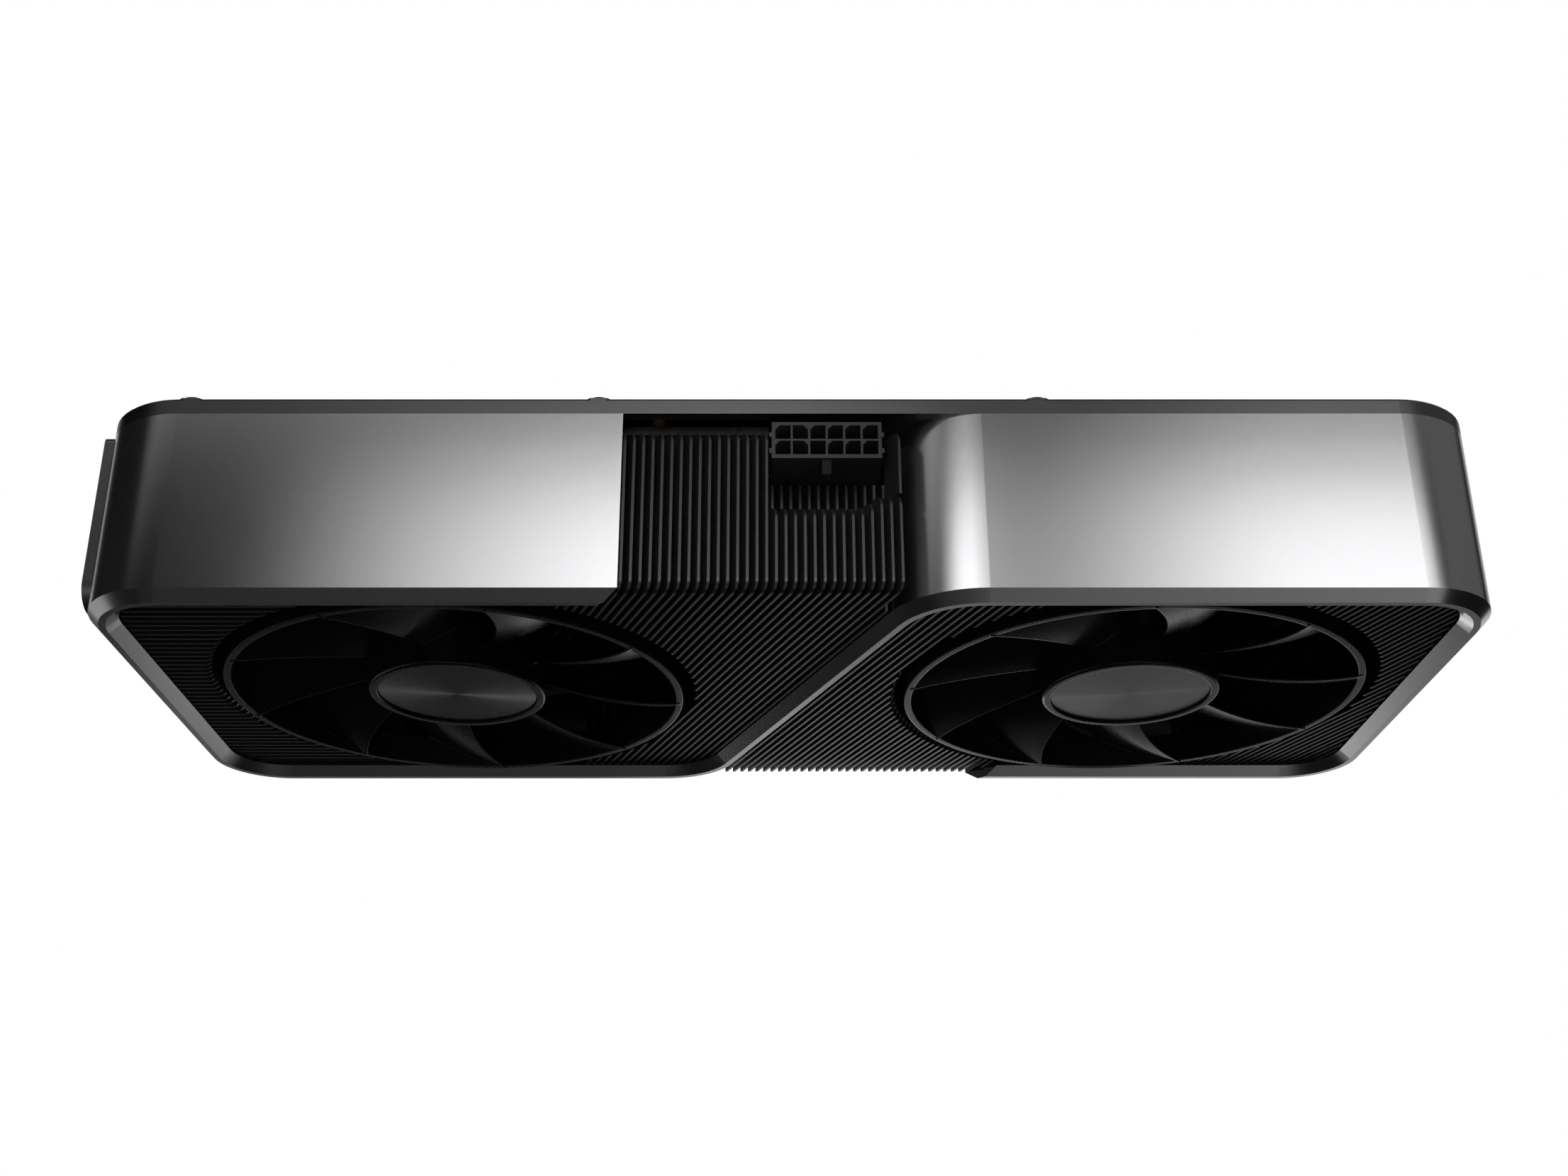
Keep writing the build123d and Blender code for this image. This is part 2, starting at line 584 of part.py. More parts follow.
def circuit_board():
    """Main board inside the frame, plus the neck that carries the edge connector past the far wall."""
    x0, x1 = BOARD_X
    s0, s1 = SOCKET_X - SOCKET_W / 2 - 0.5, SOCKET_X + SOCKET_W / 2 + 0.5
    far = Y_FAR - 2 * BOSS_R - 1.0
    key = FINGER_X - SHORT_FINGERS
    last = key - KEY - LONG_FINGERS
    shelf = NECK_Y + 1
    main = [(x0, -47.0), (s0, -47.0), (s0, -51.8), (s1, -51.8), (s1, BOARD_NEAR), (x1, BOARD_NEAR)]
    main += [(x1, far), (x0, far)]
    neck = [(NECK_X[0], far - 1), (NECK_X[1], far - 1), (NECK_X[1], NECK_Y), (FINGER_X, NECK_Y)]
    neck += [(FINGER_X, FINGER_TIP - 0.8), (FINGER_X - 0.8, FINGER_TIP), (key + 0.6, FINGER_TIP)]
    neck += [(key, FINGER_TIP - 0.6), (key, shelf), (key - KEY, shelf), (key - KEY, FINGER_TIP - 0.6)]
    neck += [(key - KEY - 0.6, FINGER_TIP), (last + 0.8, FINGER_TIP), (last, FINGER_TIP - 0.8)]
    # the hook that a slot's retention clip holds
    neck += [(last, shelf), (last - 3.7, shelf), (last - 3.7, shelf + 5.5), (last - 2.2, shelf + 5.5)]
    neck += [(last - 2.2, shelf + 7.2), (last - 7.2, shelf + 4.0), (last - 7.2, NECK_Y)]
    neck += [(NECK_X[0], NECK_Y)]
    inset = WALL + 0.3
    bay = RectangleRounded(X_END - X_TAIL - 2 * inset, BODY_WIDTH - 2 * inset, CORNER_R - inset)
    board = prism(main, Z_BOARD, Z_BOARD_TOP)
    board &= Pos((X_END + X_TAIL) / 2, Y_MID, Z_BOARD - 1) * extrude(bay, BOARD_T + 2)
    board += prism(neck, Z_BOARD, Z_BOARD_TOP)
    for x, y in SPRING_HOLES + STANDOFFS:
        board -= rod(x, y, BOARD_SCREW_R, Z_BOARD - 1, Z_BOARD_TOP + 1)
    return board


CONTACT_T = 0.08


def edge_contacts():
    key = FINGER_X - SHORT_FINGERS
    starts = [key + 0.5 + k for k in range(11)] + [key - KEY - 1.2 - k for k in range(70)]
    pads = []
    for z0 in (Z_BOARD_TOP, Z_BOARD - CONTACT_T):
        for x in starts:
            pads.append(box(x, x + 0.7, FINGER_TIP - 6.4, FINGER_TIP - 1.4, z0, z0 + CONTACT_T))
    return pads


def chip_package():
    return box(DIE_X - 16, DIE_X + 16, DIE_Y - 16, DIE_Y + 16, Z_BOARD_TOP, Z_BOARD_TOP + 1.1)


def graphics_die():
    return box(DIE_X - 8, DIE_X + 8, DIE_Y - 7, DIE_Y + 7, Z_BOARD_TOP + 1.1, Z_COLD)


MEMORY_AT = [(DIE_X + 27.0, DIE_Y + y, 0) for y in (-15.5, 0.0, 15.5)]
MEMORY_AT += [(DIE_X - 27.0, DIE_Y + y, 0) for y in (-15.5, 0.0, 15.5)]
MEMORY_AT += [(DIE_X + x, DIE_Y - 25.5, 90) for x in (-8.0, 8.0)]


def on_board(spots, size, z0):
    """Boxes of one size standing at the given places, turned by the given angles."""
    made = []
    for x, y, angle in spots:
        made.append(Pos(x, y, z0 + size[2] / 2) * Rot(0, 0, angle) * Box(*size))
    return made


def memory_chips():
    return on_board(MEMORY_AT, (12.0, 14.0, 1.2), Z_BOARD_TOP)


def memory_pads():
    return on_board(MEMORY_AT, (11.0, 13.0, COLD_PLATE_GAP - 1.2), Z_BOARD_TOP + 1.2)


CHOKES = [(12.5, y, 0) for y in (-38.0, -28.5, -19.0, -9.5, 0.0, 9.5)]


def power_chokes():
    blocks = on_board(CHOKES, (7.0, 7.5, 3.6), Z_BOARD_TOP)
    return [fillet(block.edges().filter_by(Axis.Z), 0.8) for block in blocks]


def power_stages():
    return on_board([(x - 8.0, y, a) for x, y, a in CHOKES], (5.0, 6.0, 1.0), Z_BOARD_TOP)


CAN_SPOTS = [(x, 18.0) for x in (-12.0, -4.0, 4.0, 12.0)] + [(x, 26.5) for x in (-8.0, 0.0)]


def capacitors():
    cans = []
    for x, y in CAN_SPOTS:
        can = rod(x, y, 3.1, Z_BOARD_TOP + 0.5, Z_BOARD_TOP + 6.0)
        can = fillet(can.faces().sort_by(Axis.Z)[-1].edges(), 0.4)
        cans.append(can + Pos(x, y, Z_BOARD_TOP + 0.25) * Box(6.4, 6.4, 0.5))
    return cans


def board_standoffs():
    return [tube(x, y, 2.4, BOARD_SCREW_R, Z_PLATE + PLATE_T, Z_BOARD) for x, y in STANDOFFS]


def standoff_screws():
    screws = []
    for x, y in STANDOFFS:
        shank = rod(x, y, BOARD_SCREW_R - 0.1, Z_PLATE + PLATE_T + 0.2, Z_BOARD_TOP)
        screws.append(shank + rod(x, y, 2.3, Z_BOARD_TOP, Z_BOARD_TOP + 0.8))
    return screws


def retention_spring():
    """Cross-shaped steel spring under the board, pulling the cold plate onto the die."""
    z0, z1 = Z_PLATE + PLATE_T + 0.4, Z_BOARD - 0.4
    spring = Pos(DIE_X, DIE_Y, 0) * tube(0, 0, 17.0, 11.0, z0, z1)
    for i, (x, y) in enumerate(SPRING_HOLES):
        angle = math.degrees(math.atan2(y - DIE_Y, x - DIE_X))
        arm = Pos(26.0, 0) * Box(22.0, 6.0, z1 - z0)
        spring += Pos(DIE_X, DIE_Y, (z0 + z1) / 2) * Rot(0, 0, angle) * arm
        spring += rod(x, y, 3.6, z0, z1)
    for x, y in SPRING_HOLES:
        spring -= rod(x, y, BOARD_SCREW_R, z0 - 1, z1 + 1)
    return spring


def spring_screws():
    z0 = Z_PLATE + PLATE_T + 0.4
    screws = []
    for x, y in SPRING_HOLES:
        shank = rod(x, y, BOARD_SCREW_R - 0.1, z0, Z_COLD + 1.2)
        screws.append(shank + rod(x, y, 2.2, z0 - 0.35, z0))
    return screws


def cold_plate():
    plate = box(*COLD_X, *COLD_Y, Z_COLD, Z_PIPE)
    for x, y in SPRING_HOLES:
        plate -= rod(x, y, BOARD_SCREW_R - 0.1, Z_COLD - 1, Z_COLD + 1.2)
    return chamfer(plate.edges().filter_by(Axis.Z), 1.5)


def heat_pipes():
    pipes = []
    for y in PIPE_Y:
        length = PIPE_X[1] - PIPE_X[0]
        bar = Pos((PIPE_X[0] + PIPE_X[1]) / 2, y, Z_PIPE + PIPE_T / 2) * Box(length, PIPE_W, PIPE_T)
        bar = fillet(bar.edges().filter_by(Axis.X), 1.3)
        pipes.append(bar)
    return pipes


# ---- power socket: six by two, 3 mm apart
CELL_PITCH = 3.0
CELL = 2.64
CELL_Z = 8.1
CELL_FLOOR = -49.4
KEYS = ((1, -1, 1, 1, 1, 1), (1, -1, 0, 1, 1, 1))  # which lower corner of each cell is cut, 0 for none


def socket_cells():
    """Centre and keyed side of each cell, row by row, from the bracket's side to the tail's."""
    cells = []
    for row, keys in enumerate(KEYS):
        for column, key in enumerate(keys):
            cells.append((SOCKET_X + (2.5 - column) * CELL_PITCH, CELL_Z + (row - 0.5) * CELL_PITCH, key))
    return cells


def power_socket():
    x0, x1 = SOCKET_X - SOCKET_W / 2, SOCKET_X + SOCKET_W / 2
    z0, z1 = SOCKET_Z
    body = box(x0, x1, SOCKET_Y[0], -52.0, z0, z1) + box(x0, x1, -52.5, SOCKET_Y[1], Z_BOARD_TOP, z1)
    h = CELL / 2
    cut = 0.8
    for x, z, key in socket_cells():
        low = [(x + h, z - h), (x - h, z - h)]
        if key == 1:
            low = [(x + h, z - h + cut), (x + h - cut, z - h), (x - h, z - h)]
        elif key == -1:
            low = [(x + h, z - h), (x - h + cut, z - h), (x - h, z - h + cut)]
        shape = [*low, (x - h, z + h), (x + h, z + h)]
        face = make_face(Polyline(*[(px, SOCKET_Y[0] - 1, pz) for px, pz in shape], close=True))
        body -= extrude(face, CELL_FLOOR - SOCKET_Y[0] + 1, dir=(0, 1, 0))
    # ribs on both flanks
    for x in (x0 - 0.4, x1 - 0.1):
        for z in (z0 + 2.0, z0 + 5.1):
            body += box(x, x + 0.5, SOCKET_Y[0], SOCKET_Y[0] + 5, z, z + 0.9)
    return body


def socket_latch():
    z = SOCKET_Z[1]
    y = SOCKET_Y[0]
    profile = [(y + 0.6, z), (y + 6.0, z), (y + 6.0, z + 0.9), (y + 2.6, z + 1.7)]
    face = make_face(Polyline(*[(SOCKET_X - 0.8, *point) for point in profile], close=True))
    return extrude(face, 1.6, dir=(1, 0, 0))


def socket_pins():
    pins = []
    for x, z, _ in socket_cells():
        pins.append(box(x - 0.32, x + 0.32, -54.2, CELL_FLOOR, z - 0.32, z + 0.32))
    return pins


# ---- output bracket
BRACKET_Y = (Y_NEAR + 11.85, 36.5)
BRACKET_Z = (1.5, 34.05)
TONGUE = (4.6, 14.8)
PORT_MOUTH = X_BRACKET - 0.5


def output_bracket():
    plate = box(X_END, X_BRACKET, *BRACKET_Y, *BRACKET_Z)
    upper = plate.edges().filter_by(Axis.X).group_by(Axis.Z)[-1]
    plate = fillet(upper, 4.5)
    plate = fillet(plate.edges().filter_by(Axis.X).sort_by_distance((X_BRACKET, BRACKET_Y[0], 0))[0], 1.0)
    tip = TONGUE_REACH + Y_NEAR
    root = BRACKET_Y[1] - 1
    outline = [(root, BRACKET_Z[0]), (root, 20.9), (tip - 10, 20.9), (tip - 7, TONGUE[1])]
    outline += [(tip, TONGUE[1] - 1.5), (tip, TONGUE[0] + 1.5), (tip - 7, TONGUE[0])]
    outline += [(tip - 10, BRACKET_Z[0])]
    face = make_face(Polyline(*[(X_END, y, z) for y, z in outline], close=True))
    plate += extrude(face, BRACKET_T, dir=(1, 0, 0))
    for y, w, h in zip(PORT_Y, PORT_W, PORT_H):
        side = w / 2 + 0.2
        plate -= box(X_END - 1, X_BRACKET + 1, y - side, y + side, Z_BOARD_TOP - 0.2, Z_BOARD_TOP + h + 0.2)
    for i in range(5):
        for z in (15.2, 20.0, 24.8):
            y = -38.5 + i * 14.2
            plate -= box(X_END - 1, X_BRACKET + 1, y - 5.8, y + 5.8, z, z + 3.2)
    for y in BRACKET_SCREW_Y:
        plate -= rod_x(y, BRACKET_SCREW_Z, 1.1, X_END - 1, X_BRACKET + 1)
        plate -= Pos(X_BRACKET - 0.5, y, BRACKET_SCREW_Z) * Rot(0, 90, 0) * Cone(1.12, 2.12, 1.0)
    return plate


def bracket_screws():
    screws = []
    for y in BRACKET_SCREW_Y:
        head = Pos(X_BRACKET - 0.5, y, BRACKET_SCREW_Z) * Rot(0, 90, 0) * Cone(1.05, 2.05, 1.0)
        head -= rod_x(y, BRACKET_SCREW_Z, 0.55, X_BRACKET - 0.6, X_BRACKET + 1)
        screws.append(head + rod_x(y, BRACKET_SCREW_Z, 1.0, X_END - 3.5, X_BRACKET - 0.9))
    return screws


def video_port(i):
    y, w, h = PORT_Y[i], PORT_W[i], PORT_H[i]
    shell = box(PORT_MOUTH - PORT_DEPTH, PORT_MOUTH, y - w / 2, y + w / 2, Z_BOARD_TOP, Z_BOARD_TOP + h)
    shell = fillet(shell.edges().filter_by(Axis.X), 0.6)
    t = 0.6
    return shell - box(PORT_MOUTH - PORT_DEPTH + 4, PORT_MOUTH + 1, y - w / 2 + t, y + w / 2 - t,
                       Z_BOARD_TOP + t, Z_BOARD_TOP + h - t)


def port_tongues():
    tongues = []
    for y, w, h in zip(PORT_Y, PORT_W, PORT_H):
        z = Z_BOARD_TOP + h / 2
        side = w / 2 - 2.4
        back = PORT_MOUTH - PORT_DEPTH + 4
        tongues.append(box(back, PORT_MOUTH - 2.0, y - side, y + side, z - 0.7, z + 0.7))
    return tongues


# ---- fan wiring: a cable under each mount down to a header on the board
CABLE_R = 0.85
CABLE_Z = 19.1
HEADER_H = 3.0
CABLE_ANGLE = (80.0, 15.3)
CABLE_DROP_R = 42.6
TAIL_HEADER_X = -16.0


def cable_drop(i):
    return at_angle(FAN_X[i], CABLE_DROP_R, CABLE_ANGLE[i])


def fan_cable(i):
    start = at_angle(FAN_X[i], 6.0, CABLE_ANGLE[i])
    drop = cable_drop(i)
    z_header = Z_BOARD_TOP + HEADER_H
    points = [(*start, CABLE_Z), (*drop, CABLE_Z)]
    if i == 0:
        points += [(*drop, z_header)]
    else:
        z = Z_BOARD_TOP + HEADER_H / 2
        points += [(*drop, z), (TAIL_HEADER_X, drop[1], z)]
    path = FilletPolyline(*points, radius=1.6)
    return sweep(Plane(origin=path @ 0, z_dir=path % 0) * Circle(CABLE_R), path=path)


def cable_headers():
    x, y = cable_drop(0)
    first = box(x - 3.2, x + 3.2, y - 2.6, y + 1.2, Z_BOARD_TOP, Z_BOARD_TOP + HEADER_H)
    x, y = TAIL_HEADER_X, cable_drop(1)[1]
    return [first, box(x, x + 4.0, y - 3.2, y + 3.2, Z_BOARD_TOP, Z_BOARD_TOP + HEADER_H)]


os.makedirs("parts", exist_ok=True)
save("frame_band", frame_band())
save("backplate", backplate())
save("backplate_screws", backplate_screws())
save("output_bracket", output_bracket())
save("bracket_screws", bracket_screws())
save("edge_fins", edge_row())
save("middle_fins", middle_stack())
save("tail_fins", tail_stack())
save("bracket_end_fins", bracket_end_stack())
for i, name in enumerate(PORT_NAMES):
    save(name, video_port(i))
save("port_tongues", port_tongues())
save("power_socket", power_socket())
save("socket_latch", socket_latch())
save("socket_pins", socket_pins())
save("circuit_board", circuit_board())
save("edge_contacts", edge_contacts())
save("chip_package", chip_package())
save("graphics_die", graphics_die())
save("memory_chips", memory_chips())
save("memory_pads", memory_pads())
save("power_chokes", power_chokes())
save("power_stages", power_stages())
save("capacitors", capacitors())
save("board_standoffs", board_standoffs())
save("standoff_screws", standoff_screws())
save("retention_spring", retention_spring())
save("spring_screws", spring_screws())
save("cold_plate", cold_plate())
save("heat_pipes", heat_pipes())
save("cable_headers", cable_headers())
for i, (side, x) in enumerate(zip(("bracket", "tail"), FAN_X)):
    save(f"{side}_fan_rotor", rotor(x, FAN_PHASE[i]))
    save(f"{side}_fan_hub_cap", hub_cap(x))
    save(f"{side}_fan_shaft", fan_shaft(x))
    save(f"{side}_fan_magnet", magnet_ring(x))
    save(f"{side}_fan_mount", fan_mount(x, (Z_PIPE, Z_PLATE + PLATE_T)[i]))
    save(f"{side}_fan_sleeve", bearing_sleeve(x))
    save(f"{side}_fan_stator", stator_core(x))
    save(f"{side}_fan_coils", stator_coils(x))
    save(f"{side}_under_fan_fins", under_fan_fins(x))
    save(f"{side}_fan_cable", fan_cable(i))
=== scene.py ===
import json
import math

import bpy
from mathutils import Euler, Matrix

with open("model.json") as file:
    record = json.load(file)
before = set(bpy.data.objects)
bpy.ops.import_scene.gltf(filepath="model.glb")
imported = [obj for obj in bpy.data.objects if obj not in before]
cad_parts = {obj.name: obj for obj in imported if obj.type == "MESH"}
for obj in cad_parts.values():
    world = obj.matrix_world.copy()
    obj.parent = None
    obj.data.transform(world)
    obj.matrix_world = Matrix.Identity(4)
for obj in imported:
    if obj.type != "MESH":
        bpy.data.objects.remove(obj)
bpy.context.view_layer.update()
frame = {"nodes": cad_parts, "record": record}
nodes = frame["nodes"]
scene = bpy.context.scene
scene.view_settings.view_transform = "Standard"


# ---- node helpers
class Graph:
    """A material's node tree, with short names for the nodes the materials here use."""

    def __init__(self, name):
        self.material = bpy.data.materials.new(name)
        self.material.use_nodes = True
        self.tree = self.material.node_tree
        self.bsdf = self.tree.nodes["Principled BSDF"]

    def node(self, kind, **values):
        made = self.tree.nodes.new(kind)
        for key, value in values.items():
            setattr(made, key, value)
        return made

    def link(self, source, target):
        self.tree.links.new(source, target)

    def set(self, **values):
        for key, value in values.items():
            self.bsdf.inputs[key.replace("_", " ")].default_value = value

    def place(self, scale=(1, 1, 1), turn=(0, 0, 0)):
        coords = self.node("ShaderNodeTexCoord")
        mapping = self.node("ShaderNodeMapping")
        mapping.inputs["Scale"].default_value = scale
        mapping.inputs["Rotation"].default_value = turn
        self.link(coords.outputs["Object"], mapping.inputs["Vector"])
        return mapping.outputs["Vector"]

    def noise(self, vector, scale, detail=3.0, rough=0.5):
        made = self.node("ShaderNodeTexNoise")
        made.inputs["Scale"].default_value = scale
        made.inputs["Detail"].default_value = detail
        made.inputs["Roughness"].default_value = rough
        self.link(vector, made.inputs["Vector"])
        return made.outputs["Fac"]

    def ramp(self, fac, stops):
        made = self.node("ShaderNodeValToRGB")
        elements = made.color_ramp.elements
        while len(elements) < len(stops):
            elements.new(0.5)
        for element, (at, value) in zip(elements, stops):
            element.position = at
            element.color = value if len(value) == 4 else (*value, 1)
        self.link(fac, made.inputs["Fac"])
        return made.outputs["Color"]

    def grey(self, fac, low, high, start=0.3, end=0.7):
        return self.ramp(fac, [(start, (low,) * 3), (end, (high,) * 3)])

    def bump(self, height, strength, distance, edge=0.0):
        """Fine relief, on edges that are broken to a small radius where edge is given."""
        made = self.node("ShaderNodeBump")
        made.inputs["Strength"].default_value = strength
        made.inputs["Distance"].default_value = distance
        self.link(height, made.inputs["Height"])
        if edge:
            soft = self.node("ShaderNodeBevel", samples=6)
            soft.inputs["Radius"].default_value = edge
            self.link(soft.outputs["Normal"], made.inputs["Normal"])
        self.link(made.outputs["Normal"], self.bsdf.inputs["Normal"])


def metal(name, color, rough, grain=(1, 1, 1), grain_scale=900.0, depth=0.000004, spread=0.04, metallic=1.0,
          tint=0.06, edge=0.0):
    """Metal with a grain: fine noise stretched along one direction, broad uneven tone and worn roughness."""
    g = Graph(name)
    g.set(Metallic=metallic)
    fine = g.noise(g.place(grain), grain_scale, 2.0)
    broad = g.noise(g.place(), 28.0, 3.0)
    low = tuple(c * (1 - tint) for c in color)
    high = tuple(min(1.0, c * (1 + tint)) for c in color)
    g.link(g.ramp(broad, [(0.35, low), (0.65, high)]), g.bsdf.inputs["Base Color"])
    mix = g.node("ShaderNodeMath", operation="MULTIPLY_ADD")
    mix.inputs[1].default_value = 0.7
    g.link(fine, mix.inputs[0])
    g.link(broad, mix.inputs[2])
    g.link(g.grey(mix.outputs[0], rough - spread, rough + spread, 0.5, 1.1), g.bsdf.inputs["Roughness"])
    g.bump(fine, 0.25, depth, edge)
    return g.material


def coated(name, color, rough, scale=2600.0, depth=0.00002, specular=0.5, tint=0.2, edge=0.0):
    """Powder coat, mould texture or solder mask: pebbled surface with slightly uneven tone."""
    g = Graph(name)
    g.bsdf.inputs["Specular IOR Level"].default_value = specular
    pebbles = g.noise(g.place(), scale, 2.0)
    broad = g.noise(g.place(), 60.0, 3.0)
    low = tuple(c * (1 - tint) for c in color)
    high = tuple(min(1.0, c * (1 + tint)) for c in color)
    g.link(g.ramp(broad, [(0.35, low), (0.65, high)]), g.bsdf.inputs["Base Color"])
    g.link(g.grey(pebbles, rough - 0.06, rough + 0.06), g.bsdf.inputs["Roughness"])
    g.bump(pebbles, 0.3, depth, edge)
    return g.material


def turned(name, color, rough):
    """Circular-brushed disc: rings of fine grooves round each fan's axis, with stretched highlights."""
    g = Graph(name)
    g.set(Metallic=1.0, Anisotropic=1.0, Anisotropic_Rotation=0.25, Roughness=rough)
    tangent = g.node("ShaderNodeTangent", direction_type="RADIAL", axis="Z")
    g.link(tangent.outputs["Tangent"], g.bsdf.inputs["Tangent"])
    coords = g.node("ShaderNodeTexCoord")
    split = g.node("ShaderNodeSeparateXYZ")
    g.link(coords.outputs["Generated"], split.inputs[0])
    centred = []
    for axis in ("X", "Y"):
        shift = g.node("ShaderNodeMath", operation="SUBTRACT")
        shift.inputs[1].default_value = 0.5
        g.link(split.outputs[axis], shift.inputs[0])
        square = g.node("ShaderNodeMath", operation="MULTIPLY")
        g.link(shift.outputs[0], square.inputs[0])
        g.link(shift.outputs[0], square.inputs[1])
        centred.append(square.outputs[0])
    total = g.node("ShaderNodeMath", operation="ADD")
    g.link(centred[0], total.inputs[0])
    g.link(centred[1], total.inputs[1])
    radius = g.node("ShaderNodeMath", operation="SQRT")
    g.link(total.outputs[0], radius.inputs[0])
    across = g.node("ShaderNodeCombineXYZ")
    g.link(radius.outputs[0], across.inputs["X"])
    grooves = g.noise(across.outputs[0], 260.0, 3.0, 0.7)
    low = tuple(c * 0.82 for c in color)
    g.link(g.ramp(grooves, [(0.3, low), (0.7, color)]), g.bsdf.inputs["Base Color"])
    g.bump(grooves, 0.18, 0.00003)
    return g.material


# ---- materials
looks = {
    "frame_metal": metal("frame satin metal", (0.62, 0.62, 0.63), 0.22, grain_scale=2400.0, depth=0.0000008,
                         spread=0.02, tint=0.015),
    "back_metal": metal("backplate satin metal", (0.2, 0.2, 0.205), 0.3, grain_scale=2400.0, depth=0.0000015,
                        spread=0.03, tint=0.03),
    "fin_black": metal("fin coating", (0.12, 0.12, 0.125), 0.32, (1, 1, 0.2), depth=0.000003, metallic=0.8),
    "screw_steel": metal("screw steel", (0.5, 0.5, 0.51), 0.28, (1, 1, 1), 1500.0),
    "bracket_steel": metal("bracket steel", (0.33, 0.33, 0.34), 0.36, (0.15, 1, 1), 900.0),
    "fan_plastic": coated("fan plastic", (0.01, 0.01, 0.011), 0.26, depth=0.000003, specular=0.42,
                          edge=0.0004),
    "cap_metal": turned("turned cap", (0.15, 0.15, 0.155), 0.2),
    "inner_plastic": coated("inner plastic", (0.012, 0.012, 0.012), 0.5),
    "shaft_steel": metal("ground shaft", (0.6, 0.6, 0.62), 0.15, (1, 1, 8), 600.0),
    "bearing_brass": metal("sintered bronze", (0.4, 0.27, 0.13), 0.4),
    "core_steel": metal("laminated core", (0.35, 0.35, 0.37), 0.4, (0.02, 0.02, 6), 900.0),
    "coil_copper": metal("enamelled wire", (0.34, 0.13, 0.06), 0.35, (0.05, 0.05, 6), 700.0),
    "magnet": coated("bonded magnet", (0.05, 0.05, 0.055), 0.6),
    "board": coated("solder mask", (0.01, 0.012, 0.011), 0.32, 900.0),
    "gold": metal("gold plate", (0.85, 0.6, 0.22), 0.22),
    "package": coated("package laminate", (0.02, 0.055, 0.03), 0.45),
    "silicon": metal("polished die", (0.35, 0.35, 0.4), 0.08),
    "chip": coated("moulded epoxy", (0.02, 0.02, 0.021), 0.5),
    "pad": coated("thermal pad", (0.3, 0.36, 0.42), 0.75),
    "choke": coated("pressed powder core", (0.07, 0.07, 0.072), 0.6),
    "can": metal("capacitor can", (0.62, 0.62, 0.64), 0.25),
    "zinc": metal("zinc plating", (0.6, 0.6, 0.58), 0.3),
    "port_shell": metal("nickel shell", (0.6, 0.59, 0.57), 0.22),
    "socket_plastic": coated("nylon socket", (0.045, 0.045, 0.047), 0.45, depth=0.000004),
    "copper": metal("flashed copper", (0.3, 0.17, 0.12), 0.38, (0.2, 1, 1), 900.0),
    "cable_sheath": coated("cable sheath", (0.015, 0.015, 0.015), 0.55),
}
slot_of = {part["node"]: part["material_slot"] for part in frame["record"]["subparts"]}
for name, obj in nodes.items():
    obj.data.materials.clear()
    obj.data.materials.append(looks[slot_of[name]])


# ---- floor and light cards
def plane(name, corners, material):
    mesh = bpy.data.meshes.new(name)
    mesh.from_pydata(corners, [], [(0, 1, 2, 3)])
    obj = bpy.data.objects.new(name, mesh)
    scene.collection.objects.link(obj)
    obj.data.materials.append(material)
    return obj


def ramp_along(tree, position, axis, stops):
    """Brightness along one axis from (metres, value) stops, scaled so that the highest is 1."""
    low, high = stops[0][0], stops[-1][0]
    peak = max(value for _, value in stops)
    spread = tree.nodes.new("ShaderNodeMapRange")
    spread.inputs["From Min"].default_value = low
    spread.inputs["From Max"].default_value = high
    ramp = tree.nodes.new("ShaderNodeValToRGB")
    elements = ramp.color_ramp.elements
    while len(elements) < len(stops):
        elements.new(0.5)
    for element, (at, value) in zip(elements, stops):
        element.position = (at - low) / (high - low)
        element.color = (value / peak, value / peak, value / peak, 1)
    tree.links.new(position.outputs[axis], spread.inputs["Value"])
    tree.links.new(spread.outputs["Result"], ramp.inputs["Fac"])
    return ramp.outputs["Color"], peak


def glowing(name, *profiles):
    """Light card whose brightness is the product of its profiles, each an axis with its stops."""
    material = bpy.data.materials.new(name)
    material.use_nodes = True
    tree = material.node_tree
    tree.nodes.clear()
    out = tree.nodes.new("ShaderNodeOutputMaterial")
    glow = tree.nodes.new("ShaderNodeEmission")
    coords = tree.nodes.new("ShaderNodeTexCoord")
    position = tree.nodes.new("ShaderNodeSeparateXYZ")
    tree.links.new(coords.outputs["Object"], position.inputs[0])
    strength = tree.nodes.new("ShaderNodeMath")
    strength.operation = "MULTIPLY"
    strength.inputs[0].default_value = 1.0
    strength.inputs[1].default_value = 1.0
    total = 1.0
    for socket, (axis, stops) in zip(strength.inputs, profiles):
        level, peak = ramp_along(tree, position, axis, stops)
        tree.links.new(level, socket)
        total *= peak
    scaled = tree.nodes.new("ShaderNodeMath")
    scaled.operation = "MULTIPLY"
    scaled.inputs[1].default_value = total
    tree.links.new(strength.outputs[0], scaled.inputs[0])
    tree.links.new(scaled.outputs[0], glow.inputs["Strength"])
    tree.links.new(glow.outputs[0], out.inputs["Surface"])
    return material


def card_facing_y(name, y, x_stops, z_stops):
    """Upright card across the card's length."""
    (x0, x1), (z0, z1) = [(stops[0][0], stops[-1][0]) for stops in (x_stops, z_stops)]
    corners = [(x0, y, z0), (x1, y, z0), (x1, y, z1), (x0, y, z1)]
    return hidden(plane(name, corners, glowing(name, ("X", x_stops), ("Z", z_stops))))


def card_facing_x(name, x, y_stops, z_stops):
    """Upright card beside one end."""
    (y0, y1), (z0, z1) = [(stops[0][0], stops[-1][0]) for stops in (y_stops, z_stops)]
    corners = [(x, y0, z0), (x, y1, z0), (x, y1, z1), (x, y0, z1)]
    return hidden(plane(name, corners, glowing(name, ("Y", y_stops), ("Z", z_stops))))


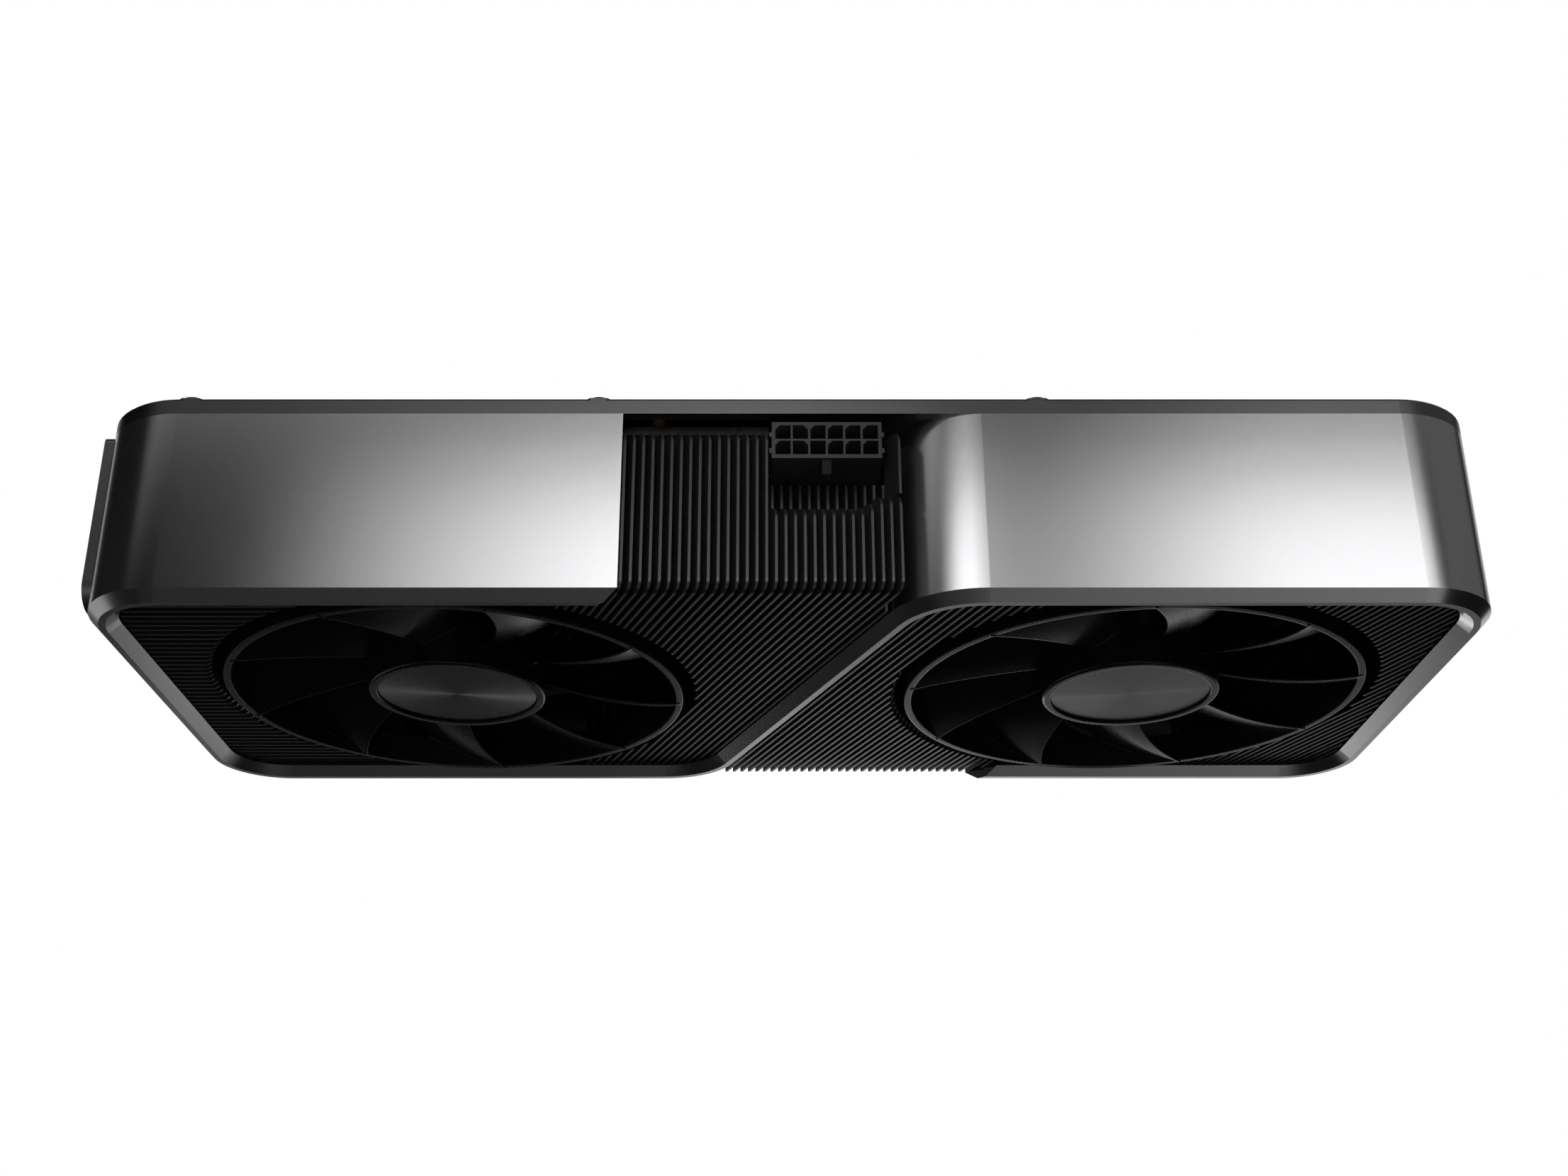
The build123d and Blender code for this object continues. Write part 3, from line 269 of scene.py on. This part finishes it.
def card_overhead(name, z, x_stops, y_stops):
    """Level card above."""
    (x0, x1), (y0, y1) = [(stops[0][0], stops[-1][0]) for stops in (x_stops, y_stops)]
    corners = [(x0, y0, z), (x0, y1, z), (x1, y1, z), (x1, y0, z)]
    return hidden(plane(name, corners, glowing(name, ("X", x_stops), ("Y", y_stops))))


def hidden(obj):
    obj.visible_camera = False
    obj.visible_shadow = False
    return obj


def soft_boxes(low, high, base, *boxes):
    """Stops from low to high: a base level plus boxes, each (from, to, fade before, fade after, level)."""
    ends = {low, high}
    for start, end, before, after, _ in boxes:
        ends.update((start - before, start, end, end + after))
    stops = []
    for at in sorted(x for x in ends if low <= x <= high):
        value = base
        for start, end, before, after, level in boxes:
            if start <= at <= end:
                value += level
            elif start - before < at < start:
                value += level * (at - start + before) / before
            elif end < at < end + after:
                value += level * (end + after - at) / after
        stops.append((at, value))
    return stops


floor_look = bpy.data.materials.new("pale floor")
floor_look.use_nodes = True
floor_bsdf = floor_look.node_tree.nodes["Principled BSDF"]
floor_bsdf.inputs["Base Color"].default_value = (0.0, 0.0, 0.0, 1)
floor_bsdf.inputs["Roughness"].default_value = 0.9
floor_bsdf.inputs["Specular IOR Level"].default_value = 0.0
floor_bsdf.inputs["Emission Color"].default_value = (1, 1, 1, 1)
floor_bsdf.inputs["Emission Strength"].default_value = 1.0
FLOOR = 6.0  # metres from the middle to each side
corners = [(-FLOOR, -FLOOR, 0), (FLOOR, -FLOOR, 0), (FLOOR, FLOOR, 0), (-FLOOR, FLOOR, 0)]
floor = plane("floor", corners, floor_look)
floor.visible_glossy = False
floor.visible_diffuse = False
floor.visible_shadow = False

# in front and below, a soft box for each near wall, and a faint one past the tail; the low card's top
# overlaps the front card's foot in the same plane, so a reflection there shows a mix of the two
FRONT_Y = -0.21
FRONT_FOOT = -0.095
FRONT_LOW_TOP = -0.06
tail_wall_box = (-0.185, -0.13, 0.035, 0.073, 1.78)
tail_edge_box = (-0.225, -0.2, 0.06, 0.02, 0.45)
bracket_wall_box = (-0.015, 0.04, 0.05, 0.093, 1.9)
past_tail_box = (-0.5, -0.4, 0.0, 0.13, 0.23)
front_glow = soft_boxes(-0.5, 0.5, 0.0, past_tail_box, tail_edge_box, tail_wall_box, bracket_wall_box)
card_facing_y("front_card", FRONT_Y, front_glow, [(FRONT_FOOT, 1.0), (0.04, 1.0)])
low_tail_box = (-0.5, -0.27, 0.0, 0.1, 0.13)
low_bracket_box = (0.125, 0.2, 0.055, 0.2, 0.43)
front_low_glow = soft_boxes(-0.5, 0.375, 0.0, low_tail_box, low_bracket_box)
card_facing_y("front_low_card", FRONT_Y, front_low_glow, [(-0.24, 1.0), (-0.13, 0.9), (FRONT_LOW_TOP, 0.0)])

# behind: a broad soft box towards the tail and a narrow one near the middle, for the lips, fins and caps
broad_back_box = (-0.2, -0.1, 0.7, 0.17, 0.76)
narrow_back_box = (-0.035, -0.01, 0.08, 0.065, 0.95)
back_glow = soft_boxes(-0.45, 0.45, 0.1, broad_back_box, narrow_back_box)
back_rise = [(-0.12, 0.88), (0.106, 0.94), (0.117, 0.11), (0.35, 0.03)]
card_facing_y("back_card", 0.26, back_glow, back_rise)
card_facing_y("back_low_card", 0.4, [(-0.6, 0.7), (0.0, 1.0), (0.6, 0.7)], [(-0.5, 0.9), (-0.1, 0.7)])

# a thin level strip behind, for the turned caps
cap_rise = [(0.127, 0.6), (0.1325, 1.0), (0.138, 0.6)]
card_facing_y("cap_card", 0.255, [(-0.4, 0.7), (0.4, 0.7)], cap_rise)

# high in front: too far up for the near walls, and the main light on the fans when seen from behind
high_glow = [(-0.7, 0.3), (0.0, 0.4), (0.7, 0.3)]
card_facing_y("front_high_card", -0.9, high_glow, [(0.2, 0.5), (0.45, 1.0), (0.8, 0.3)])

# overhead, towards the front: mirrored by the chamfers, greyer towards the tail
card_overhead("top_card", 0.7, [(-0.6, 0.36), (0.0, 0.06), (0.6, 0.01)], [(-0.5, 1.0), (-0.15, 1.0)])
card_facing_x("tail_low_card", -0.32, [(-0.21, 1.0), (0.05, 1.0)], [(-0.2, 0.12), (-0.02, 0.12)])

# beside the bracket end, above what the near corner mirrors
card_facing_x("bracket_card", 0.6, [(-0.5, 0.3), (0.5, 0.5)], [(-0.06, 0.0), (0.0, 0.8), (0.3, 1.0)])

world = bpy.data.worlds.new("studio")
scene.world = world
world.use_nodes = True
tree = world.node_tree
sky = tree.nodes["Background"]
sky.inputs["Color"].default_value = (1, 1, 1, 1)
path = tree.nodes.new("ShaderNodeLightPath")
level = tree.nodes.new("ShaderNodeMapRange")
level.inputs["To Min"].default_value = 0.008
level.inputs["To Max"].default_value = 1.0
tree.links.new(path.outputs["Is Camera Ray"], level.inputs["Value"])
tree.links.new(level.outputs["Result"], sky.inputs["Strength"])

# ---- camera, level side to side and turned over, as the card is shown with its fans facing down
SENSOR_MM = 36.0
LENS_MM = 40.182
SHIFT = (0.01108, 0.03488)  # parts of the picture's width
PITCH = 22.61  # degrees down
PLACE = (0.0030, -0.32197, 0.15551)
camera_data = bpy.data.cameras.new("camera")
camera = bpy.data.objects.new("camera", camera_data)
scene.collection.objects.link(camera)
camera_data.sensor_width = SENSOR_MM
camera_data.lens = LENS_MM
camera_data.shift_x, camera_data.shift_y = SHIFT
camera.location = PLACE
upright = Euler((math.radians(90 - PITCH), 0, 0)).to_matrix()
camera.rotation_euler = (upright @ Matrix.Rotation(math.pi, 3, "Z")).to_euler()
camera_data.clip_start = 0.01
scene.camera = camera
